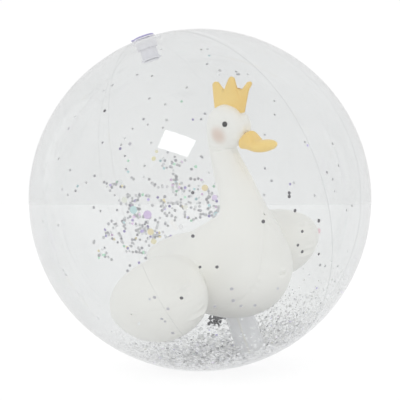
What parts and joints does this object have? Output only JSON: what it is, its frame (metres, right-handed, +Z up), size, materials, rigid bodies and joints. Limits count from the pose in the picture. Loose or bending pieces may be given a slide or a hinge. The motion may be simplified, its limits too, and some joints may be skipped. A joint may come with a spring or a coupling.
{
  "type": "inflatable beach ball",
  "caption": "Clear inflatable glitter beach ball with a crowned white swan standing inside it, push-in valves at both poles, lying at rest on its contact patch.",
  "frame": {"origin": "centre of the flat patch where the ball presses on the floor, under the ball's centre", "axes": "+Z up from the floor, +X to the viewer's right and +Y away from the viewer in the ball's usual display pose; the polar axis leans 19 degrees to -X and 4 degrees to -Y"},
  "size_m": [0.35, 0.349, 0.348],
  "materials": {
    "clear_vinyl": "glossy clear film",
    "lilac_vinyl": "glossy tinted film",
    "plum_vinyl": "glossy",
    "white_vinyl": "satin film",
    "gold_vinyl": "satin print",
    "eye_ink": "print",
    "glitter": "holographic flakes"
  },
  "bodies": {
    "ball": {"gore_1": "clear_vinyl", "gore_2": "clear_vinyl", "gore_3": "clear_vinyl", "gore_4": "clear_vinyl", "gore_5": "clear_vinyl", "gore_6": "clear_vinyl", "top_cap": "clear_vinyl", "bottom_cap": "clear_vinyl", "ball_valve_flange": "lilac_vinyl", "swan_valve_flange": "lilac_vinyl", "glitter_heap": "glitter"},
    "ball_valve_tube": {"ball_valve_stem": "lilac_vinyl", "ball_valve_tether": "lilac_vinyl"},
    "ball_valve_stopper": {"ball_valve_plug": "plum_vinyl"},
    "ball_valve_check": {"ball_valve_flap": "lilac_vinyl"},
    "swan_valve_tube": {"swan_valve_stem": "lilac_vinyl", "swan_valve_tether": "lilac_vinyl"},
    "swan_valve_stopper": {"swan_valve_plug": "lilac_vinyl"},
    "swan_valve_check": {"swan_valve_flap": "lilac_vinyl"},
    "swan": {"anchor_tube": "lilac_vinyl", "swan_left_panel": "white_vinyl", "swan_right_panel": "white_vinyl", "swan_belly_gusset": "white_vinyl", "left_wing_upper": "white_vinyl", "left_wing_lower": "white_vinyl", "right_wing_upper": "white_vinyl", "right_wing_lower": "white_vinyl", "beak_left": "gold_vinyl", "beak_right": "gold_vinyl", "crown_left_ply": "gold_vinyl", "crown_right_ply": "gold_vinyl", "left_eye": "eye_ink", "right_eye": "eye_ink"}
  },
  "joints": [
    {"name": "ball_valve_pop_out", "type": "slide", "parent": "ball", "child": "ball_valve_tube", "axis": [-0.3248, -0.0698, 0.9432], "range_m": [0, 0.01]},
    {"name": "ball_valve_plug_flip", "type": "hinge", "parent": "ball_valve_tube", "child": "ball_valve_stopper", "pos_m": [-0.06996, -0.0123, 0.33537], "axis": [0.0227, -0.9976, -0.066], "range_deg": [0, 160]},
    {"name": "ball_valve_check_flap", "type": "hinge", "parent": "ball_valve_tube", "child": "ball_valve_check", "pos_m": [-0.05741, -0.01062, 0.31426], "axis": [-0.0227, 0.9976, 0.066], "range_deg": [0, 50], "stiffness_Nm_per_rad": 0.005},
    {"name": "swan_valve_pop_out", "type": "slide", "parent": "ball", "child": "swan_valve_tube", "axis": [0.3248, 0.0698, -0.9432], "range_m": [0, 0.01]},
    {"name": "swan_valve_plug_flip", "type": "hinge", "parent": "swan_valve_tube", "child": "swan_valve_stopper", "pos_m": [0.06967, 0.01486, 0.01141], "axis": [0.2027, -0.9792, -0.0026], "range_deg": [0, 160]},
    {"name": "swan_valve_check_flap", "type": "hinge", "parent": "swan_valve_tube", "child": "swan_valve_check", "pos_m": [0.05722, 0.01222, 0.03248], "axis": [-0.2027, 0.9792, 0.0026], "range_deg": [0, 50], "stiffness_Nm_per_rad": 0.005},
    {"name": "swan_nod", "type": "hinge", "parent": "ball", "child": "swan", "pos_m": [0.05602, 0.01203, 0.01064], "axis": [0.6644, 0.693, 0.28], "range_deg": [-4, 4], "stiffness_Nm_per_rad": 3}
  ]
}
